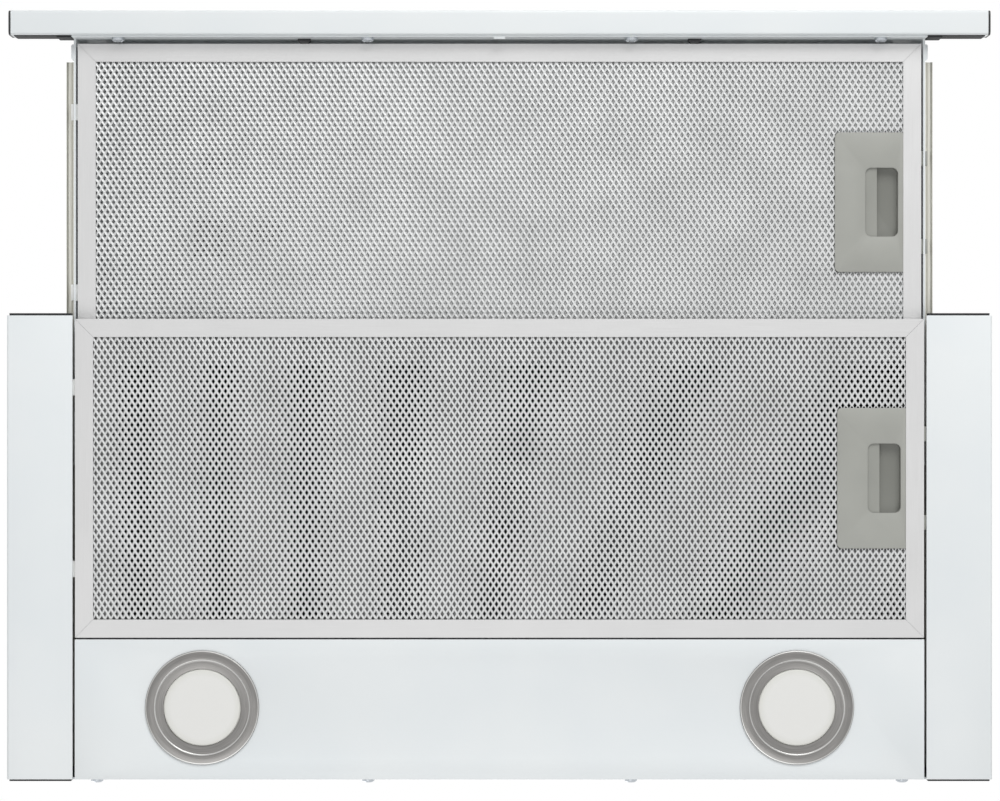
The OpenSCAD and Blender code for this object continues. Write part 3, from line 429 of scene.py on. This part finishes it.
def finish_mesh(shape, name):
    """Turns a working shape into a mesh, smooth across edges flatter than SMOOTH_BELOW."""
    mesh = bpy.data.meshes.new(name)
    for face in shape.faces:
        face.smooth = True
    for edge in shape.edges:
        closed = len(edge.link_faces) == 2
        edge.smooth = closed and edge.calc_face_angle() < math.radians(SMOOTH_BELOW)
    shape.to_mesh(mesh)
    shape.free()
    return mesh


def formed(shape, node):
    """Shows a working shape in place of its CAD node."""
    name = node + "_formed"
    show(finish_mesh(shape, name), name, BODY_OF[node], SLOT_OF[node], node)


def softened(node, width_mm):
    """A piece like the CAD node, with its sharp edges rounded."""
    shape = merged(node)
    edges = [e for e in shape.edges if len(e.link_faces) == 2
             and e.calc_face_angle() > math.radians(SHARP_ABOVE)]
    bmesh.ops.bevel(shape, geom=edges, offset=width_mm * MM, segments=2, profile=0.5,
                    affect="EDGES", clamp_overlap=True)
    formed(shape, node)


# ---- expanded mesh ----

def mesh_cell():
    """One cell of the expanded sheet: the four strands round one hole, as a flat front skin. The
    stretching has tilted them, so the far side of each hole stands deeper than the near side."""
    outer = [(-MESH_PITCH / 2, 0), (0, MESH_ROW), (MESH_PITCH / 2, 0), (0, -MESH_ROW)]
    inner = [(-HOLE_HALF_W, 0), (0, HOLE_HALF_H), (HOLE_HALF_W, 0), (0, -HOLE_HALF_H)]
    depth = [STRAND_TILT / 2, STRAND_TILT, STRAND_TILT / 2, 0]
    points = [(x * MM, y * MM, STRAND_TILT / 2 * MM) for x, y in outer]
    points += [(x * MM, y * MM, z * MM) for (x, y), z in zip(inner, depth)]
    mesh = bpy.data.meshes.new("mesh_cell")
    mesh.from_pydata(points, [], [(i, (i + 1) % 4, (i + 1) % 4 + 4, i + 4) for i in range(4)])
    return bpy.data.objects.new("mesh_cell", mesh)


def sheet_tree():
    """Geometry nodes that lay cells out in staggered rows inside a rectangle, clear of the latch
    plate, weld them and draw the sheet out."""
    tree = bpy.data.node_groups.new("expanded_sheet", "GeometryNodeTree")
    sockets = {
        "Cell": "NodeSocketObject", "Columns": "NodeSocketInt", "Rows": "NodeSocketInt",
        "Pitch": "NodeSocketFloat", "Row Pitch": "NodeSocketFloat", "Middle": "NodeSocketVector",
        "Half Width": "NodeSocketFloat", "Half Depth": "NodeSocketFloat",
        "Plate X": "NodeSocketFloat", "Plate Half": "NodeSocketFloat", "Stretch": "NodeSocketFloat",
        "Bend": "NodeSocketFloat", "Skew": "NodeSocketFloat", "Still X": "NodeSocketFloat",
        "Finish": "NodeSocketMaterial",
    }
    for name, kind in sockets.items():
        tree.interface.new_socket(name, in_out="INPUT", socket_type=kind)
    tree.interface.new_socket("Geometry", in_out="OUTPUT", socket_type="NodeSocketGeometry")
    given = add(tree, "NodeGroupInput").outputs

    def sums(operation, *values):
        return add(tree, "ShaderNodeMath", {"operation": operation},
                   **{f"_{i}": v for i, v in enumerate(values)}).outputs["Value"]

    index = add(tree, "GeometryNodeInputIndex").outputs[0]
    column = sums("MODULO", index, given["Columns"])
    row = sums("FLOOR", sums("DIVIDE", index, given["Columns"]))
    stagger = sums("MULTIPLY", sums("MODULO", row, 2.0), 0.5)
    half_columns = sums("MULTIPLY", given["Columns"], 0.5)
    half_rows = sums("FLOOR", sums("MULTIPLY", given["Rows"], 0.5))
    x = sums("MULTIPLY", sums("ADD", sums("SUBTRACT", column, half_columns), stagger), given["Pitch"])
    y = sums("MULTIPLY", sums("SUBTRACT", row, half_rows), given["Row Pitch"])

    def stretched(x, y):
        from_still = sums("SUBTRACT", x, given["Still X"])
        pull = sums("MULTIPLY_ADD", from_still, given["Bend"], given["Stretch"])
        leaning = sums("MINIMUM", sums("MAXIMUM", from_still, 0.0), LEAN_REACH * MM)
        lean = sums("MULTIPLY", leaning, sums("MULTIPLY", y, given["Skew"]))
        return sums("ADD", sums("MULTIPLY_ADD", from_still, pull, x), lean)

    count = sums("MULTIPLY", given["Columns"], given["Rows"])
    flat = add(tree, "ShaderNodeCombineXYZ", X=x, Y=y).outputs["Vector"]
    points = add(tree, "GeometryNodePoints", Count=count, Position=flat).outputs["Geometry"]
    here = add(tree, "GeometryNodeInputPosition").outputs[0]
    at = add(tree, "ShaderNodeSeparateXYZ", Vector=here).outputs
    seen_x = stretched(at["X"], at["Y"])
    # positive where a point is outside the rectangle or behind the latch plate
    past_width = sums("SUBTRACT", sums("ABSOLUTE", seen_x), given["Half Width"])
    past_depth = sums("SUBTRACT", sums("ABSOLUTE", at["Y"]), given["Half Depth"])
    behind = sums("MINIMUM", sums("SUBTRACT", seen_x, given["Plate X"]),
                  sums("SUBTRACT", given["Plate Half"], sums("ABSOLUTE", at["Y"])))
    worst = sums("MAXIMUM", sums("MAXIMUM", past_width, past_depth), behind)
    drop = sums("GREATER_THAN", worst, 0.0)
    kept = add(tree, "GeometryNodeDeleteGeometry", {"domain": "POINT"}, Geometry=points, Selection=drop)
    cell = add(tree, "GeometryNodeObjectInfo", Object=given["Cell"]).outputs["Geometry"]
    laid = add(tree, "GeometryNodeInstanceOnPoints", Points=kept.outputs["Geometry"], Instance=cell)
    real = add(tree, "GeometryNodeRealizeInstances", Geometry=laid.outputs["Instances"])
    welded = add(tree, "GeometryNodeMergeByDistance", Geometry=real.outputs["Geometry"],
                 Distance=WELD_REACH * MM)
    pulled = add(tree, "ShaderNodeCombineXYZ", X=seen_x, Y=at["Y"], Z=at["Z"]).outputs["Vector"]
    moved = add(tree, "ShaderNodeVectorMath", {"operation": "ADD"}, _0=pulled, _1=given["Middle"])
    drawn = add(tree, "GeometryNodeSetPosition", Geometry=welded.outputs["Geometry"],
                Position=moved.outputs["Vector"])
    painted = add(tree, "GeometryNodeSetMaterial", Geometry=drawn.outputs["Geometry"],
                  Material=given["Finish"])
    end = add(tree, "NodeGroupOutput")
    tree.links.new(painted.outputs["Geometry"], end.inputs["Geometry"])
    return tree


def run_tree(tree, values, *extra):
    """The plain mesh that a node tree makes, with extra modifiers after it."""
    holder = bpy.data.objects.new("holder", bpy.data.meshes.new("holder"))
    bpy.context.scene.collection.objects.link(holder)
    modifier = holder.modifiers.new("make", "NODES")
    modifier.node_group = tree
    for item in tree.interface.items_tree:
        if item.in_out == "INPUT" and item.name in values:
            modifier[item.identifier] = values[item.name]
    for kind, settings in extra:
        more = holder.modifiers.new(kind.lower(), kind)
        for name, value in settings.items():
            setattr(more, name, value)
    bpy.context.view_layer.update()
    graph = bpy.context.evaluated_depsgraph_get()
    mesh = bpy.data.meshes.new_from_object(holder.evaluated_get(graph), depsgraph=graph)
    bpy.data.objects.remove(holder)
    return mesh


def expanded_layers(filter_name, cell, tree):
    """Both layers of one cassette's mesh, in place of the CAD slab."""
    node = filter_name + "_mesh"
    low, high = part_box(node)
    plate_low, plate_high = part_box(filter_name.replace("filter", "latch_housing"))
    middle = (low + high) / 2
    half_w = (high.x - low.x) / 2 - HIDDEN_EDGE * MM
    half_d = (high.y - low.y) / 2 - HIDDEN_EDGE * MM
    stretch, bend, skew, still_x = INNER_DRAW[filter_name]
    for layer, height in (("front", FRONT_LAYER_Z), ("inner", INNER_LAYER_Z)):
        inner = layer == "inner"
        # the main cassette's second layer takes the darker copy, as painted shade
        shade_painted = inner and filter_name == "main_filter"
        over_plate = -INNER_CLEAR_OF_PLATE if inner else FRONT_UNDER_PLATE
        # a few columns more than fit, because the inner sheet is drawn out from one side
        values = {
            "Cell": cell, "Columns": int(2 * half_w / MESH_PITCH / MM) + 6,
            "Rows": 2 * int(half_d / MESH_ROW / MM) + 2, "Pitch": MESH_PITCH * MM,
            "Row Pitch": MESH_ROW * MM, "Middle": (middle.x, middle.y, plate_low.z + height * MM),
            "Half Width": half_w, "Half Depth": half_d,
            "Plate X": plate_low.x - middle.x + over_plate * MM,
            "Plate Half": (plate_high.y - plate_low.y) / 2 - FRONT_UNDER_PLATE * MM,
            "Stretch": stretch if inner else 0.0, "Bend": bend / MM if inner else 0.0,
            "Skew": skew / MM if inner else 0.0, "Still X": still_x * MM,
            "Finish": SHADE_PAINTED_MESH if shade_painted else FINISHES["mesh_aluminium"],
        }
        mesh = run_tree(tree, values, ("SOLIDIFY", {"thickness": STRAND_T * MM, "offset": -1.0}))
        mesh.name = f"{node}_{layer}"
        show(mesh, mesh.name, BODY_OF[node], "mesh_aluminium", *([] if inner else [node]))


cell = mesh_cell()
tree = sheet_tree()
expanded_layers("main_filter", cell, tree)
expanded_layers("drawer_filter", cell, tree)
bpy.data.objects.remove(cell)


# ---- filter frames ----

def member_map(shape, middle, half):
    """Gives each face of a cassette frame a map that runs along its own member."""
    layer = shape.loops.layers.uv.new("UVMap")
    for face in shape.faces:
        centre = face.calc_center_median() - middle
        along_x = half.y - abs(centre.y) < half.x - abs(centre.x)
        for loop in face.loops:
            x, y, z = loop.vert.co
            loop[layer].uv = (x, y + z) if along_x else (y, x + z)


def cassette_frame(filter_name):
    """A cassette's four mitred members, with the grain along each."""
    node = filter_name + "_frame"
    low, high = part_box(node)
    shape = merged(node)
    member_map(shape, (low + high) / 2, (high - low) / 2)
    formed(shape, node)


cassette_frame("main_filter")
cassette_frame("drawer_filter")


# ---- lamps ----

def turned(name, profile, centres, steps, slot, body, *nodes):
    """A ring or disc turned from a profile of (radius, height) in mm at each centre. Its map runs
    round the ring and out along the radius, in metres."""
    shape = bmesh.new()
    layer = shape.loops.layers.uv.new("UVMap")
    for centre in centres:
        rings = []
        for step in range(steps):
            turn = 2 * math.pi * step / steps
            spots = [Vector((r * math.cos(turn), r * math.sin(turn), z)) * MM for r, z in profile]
            rings.append([shape.verts.new(centre + spot) for spot in spots])
        for step in range(steps):
            here, there = rings[step], rings[(step + 1) % steps]
            for i in range(len(profile)):
                j = (i + 1) % len(profile)
                if profile[i][0] == 0 and profile[j][0] == 0:
                    continue
                face = shape.faces.new([here[i], there[i], there[j], here[j]])
                for loop, (s, k) in zip(face.loops, ((0, i), (1, i), (1, j), (0, j))):
                    reach = 2 * math.pi * profile[k][0] * MM
                    loop[layer].uv = ((step + s) / steps * reach, profile[k][0] * MM)
    bmesh.ops.remove_doubles(shape, verts=shape.verts, dist=1e-7)
    bmesh.ops.dissolve_degenerate(shape, dist=1e-7, edges=shape.edges)
    bmesh.ops.recalc_face_normals(shape, faces=shape.faces)
    show(finish_mesh(shape, name), name, body, slot, *nodes)


def islands(node):
    """The box of each separate solid in a CAD node, as (low, high) pairs, from left to right."""
    shape = merged(node)
    left = set(shape.verts)
    found = []
    while left:
        todo, group = [left.pop()], []
        while todo:
            vertex = todo.pop()
            group.append(vertex.co.copy())
            near = {e.other_vert(vertex) for e in vertex.link_edges} & left
            left -= near
            todo += near
        found.append((Vector(map(min, *group)), Vector(map(max, *group))))
    shape.free()
    return sorted(found, key=lambda pair: (round(pair[0].x, 4), pair[0].y))


def lamps():
    """Each lamp's stepped ring and its opal lens."""
    rings = islands("lamp_rings")
    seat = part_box("light_panel")[0].z
    centres = [Vector(((low.x + high.x) / 2, (low.y + high.y) / 2, seat)) for low, high in rings]
    outer = (rings[0][1].x - rings[0][0].x) / 2 / MM
    step, lens_edge, neck = RING_STEP_R, LENS_R, outer - RING_LIP_W
    ring = [(outer, 0), (outer, -0.75), (outer - 0.12, -1.05), (outer - 0.4, -1.2),
            (step + 0.9, -1.2), (step + 0.65, -1.14), (step + 0.3, -0.78), (step, -0.62),
            (step - 0.4, -0.6), (lens_edge + 0.55, -0.6), (lens_edge + 0.3, -0.52),
            (lens_edge + 0.2, -0.3), (lens_edge + 0.2, 0.4), (27, 0.4), (27, 6), (neck, 6),
            (neck, 0)]
    turned("lamp_rings_turned", ring, centres, LAMP_STEPS, "brushed_ring", "hood", "lamp_rings")
    lens = [(0, -0.56), (8, -0.55), (15, -0.52), (20, -0.46), (22.3, -0.4), (22.9, -0.3),
            (lens_edge - 0.15, -0.1), (lens_edge - 0.15, 0.4), (26.5, 0.4), (26.5, 2), (0, 2)]
    turned("lamp_lenses_moulded", lens, centres, LAMP_STEPS, "frosted_lens", "hood", "lamp_lenses")


lamps()


# ---- fasteners on the blower box and the collar ----

def fasteners():
    """Blind rivets along the box's flange, and pan-head screws round the collar's flange."""
    low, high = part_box("motor_box")
    inset = Vector((1, 1, 0)) * RIVET_INSET * MM
    near, far = low + inset, high - inset
    top = low.z + FLANGE_T * MM
    centres = []
    for share in RIVET_SHARES:
        spot = near.lerp(far, share)
        centres += [Vector((spot.x, side, top)) for side in (near.y, far.y)]
        if share not in (RIVET_SHARES[0], RIVET_SHARES[-1]):
            centres += [Vector((side, spot.y, top)) for side in (near.x, far.x)]
    rivet = [(0, 1.1), (0.9, 1.08), (1.0, 0.85), (1.3, 0.85), (1.4, 1.05), (2.3, 0.75), (3.1, 0.25),
             (3.2, 0), (0, 0)]
    turned("box_rivets", rivet, centres, FASTENER_STEPS, "zinc_screws", "hood")
    low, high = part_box("duct_collar")
    radius = (high.x - low.x) / 2 - COLLAR_SCREW_INSET * MM
    flange = low.z + COLLAR_FLANGE_T * MM
    turns = [math.radians(45 + 90 * i) for i in range(4)]
    centres = [Vector((radius * math.cos(a), radius * math.sin(a), flange)) for a in turns]
    screw = [(0, 1.5), (1.6, 1.5), (1.7, 2.0), (2.4, 1.85), (3.2, 1.2), (3.5, 0.4), (3.5, 0), (0, 0)]
    turned("collar_screws", screw, centres, FASTENER_STEPS, "zinc_screws", "hood")


fasteners()


# ---- black sheet of painted shade over the tray's cut-outs ----

def shade_cover():
    """Thin black sheet on the tray's roof over the wiring cut-outs, put there as painted shade so that
    they read dark.
    """
    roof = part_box("drawer_tray")[1].z
    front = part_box("fascia")[1].y
    shape = bmesh.new()
    bmesh.ops.create_cube(shape, size=1.0)
    middle = Vector((COVER_X * MM, front + COVER_BEHIND_FASCIA * MM, roof + COVER_LIFT * MM))
    size = Vector(COVER_SIZE) * MM
    bmesh.ops.transform(shape, matrix=Matrix.LocRotScale(middle, None, size), verts=shape.verts)
    show(finish_mesh(shape, "tray_wiring_cover"), "tray_wiring_cover", "drawer", "switch_black")


shade_cover()


# ---- formed sheet, mouldings and everything carried over ----

EDGES_MM = {
    "light_panel": 0.3, "left_wing": 0.3, "right_wing": 0.3, "fascia": 0.35, "drawer_tray": 0.25,
    "fascia_end_caps": 0.3, "main_latch_housing": 0.35, "drawer_latch_housing": 0.35,
    "main_latch_slider": 0.25, "drawer_latch_slider": 0.25, "main_filter_lugs": 0.3,
    "drawer_filter_lugs": 0.3, "button_bezel": 0.3, "button_light": 0.3, "button_low": 0.3,
    "button_medium": 0.3, "button_high": 0.3, "duct_collar": 0.3, "terminal_box": 0.5,
    "terminal_lid": 0.5, "cable_gland": 0.4, "led_driver": 0.6, "filter_clips": 0.25,
}
for node, width in EDGES_MM.items():
    softened(node, width)
for node, piece in frame["nodes"].items():
    piece.data.materials.clear()
    piece.data.materials.append(FINISHES[SLOT_OF[node]])


# ---- floor, lights and camera ----

def seen_directly(tree):
    """1 for what the camera sees itself, in a metal or through a lens; 0 for the light it gives."""
    ray = add(tree, "ShaderNodeLightPath").outputs
    first = add(tree, "ShaderNodeMath", {"operation": "MAXIMUM"}, _0=ray["Is Camera Ray"],
                _1=ray["Is Glossy Ray"])
    return add(tree, "ShaderNodeMath", {"operation": "MAXIMUM"}, _0=first.outputs["Value"],
               _1=ray["Is Transmission Ray"]).outputs["Value"]


def studio():
    """A pale floor far below, soft boxes and a white world that the camera sees."""
    mesh = bpy.data.meshes.new("floor")
    side = FLOOR_SIDE / 2
    mesh.from_pydata([(-side, -side, FLOOR_Z), (side, -side, FLOOR_Z), (side, side, FLOOR_Z),
                      (-side, side, FLOOR_Z)], [], [(0, 1, 2, 3)])
    floor = bpy.data.objects.new("floor", mesh)
    bpy.context.scene.collection.objects.link(floor)
    made, paint, shader = material("studio_floor", "#E6E6E6", 0.7)
    glow = add(paint, "ShaderNodeEmission", Color=(1, 1, 1, 1), Strength=FLOOR_SEEN)
    seen = add(paint, "ShaderNodeMath", {"operation": "MULTIPLY"}, _0=seen_directly(paint),
               _1=FLOOR_GLOW_SHARE)
    mixed = add(paint, "ShaderNodeMixShader", _0=seen.outputs["Value"], _1=shader.outputs["BSDF"],
                _2=glow.outputs["Emission"])
    paint.links.new(mixed.outputs["Shader"], paint.nodes["Material Output"].inputs["Surface"])
    mesh.materials.append(made)

    world = bpy.data.worlds.new("studio")
    bpy.context.scene.world = world
    world.use_nodes = True
    sky = world.node_tree
    sky.nodes.clear()
    level = add(sky, "ShaderNodeMapRange", Value=seen_directly(sky), To_Min=WORLD_LIGHT,
                To_Max=WORLD_SEEN)
    back = add(sky, "ShaderNodeBackground", Color=(1, 1, 1, 1), Strength=level.outputs["Result"])
    end = add(sky, "ShaderNodeOutputWorld")
    sky.links.new(back.outputs["Background"], end.inputs["Surface"])

    for name, place_at, side_m, watts in (
        ("under_front", (0.6, -2.3, -2.2), 1.6, 50),
        ("under_back", (-0.3, 1.6, -2.7), 1.8, 19),
        ("over", (0.3, -1.2, 2.4), 2.2, 20),
        ("over_back", (-1.4, 1.8, 1.6), 1.6, 13),
    ):
        light = bpy.data.lights.new(name, "AREA")
        light.shape = "SQUARE"
        light.size = side_m
        light.energy = watts
        lamp = bpy.data.objects.new(name, light)
        lamp.location = place_at
        lamp.rotation_mode = "QUATERNION"
        lamp.rotation_quaternion = (LIGHT_TARGET - lamp.location).to_track_quat("-Z", "Y")
        lamp.visible_camera = False
        bpy.context.scene.collection.objects.link(lamp)


def camera():
    """A long lens straight below the hood."""
    data = bpy.data.cameras.new("below")
    data.lens = LENS_MM
    data.sensor_width = SENSOR_MM
    data.clip_start, data.clip_end = 0.05, 100
    eye = bpy.data.objects.new("below", data)
    eye.location = EYE
    eye.rotation_euler = (math.pi, 0, 0)
    bpy.context.scene.collection.objects.link(eye)
    bpy.context.scene.camera = eye


studio()
camera()
bpy.context.scene.view_settings.view_transform = "Standard"
bpy.context.view_layer.update()
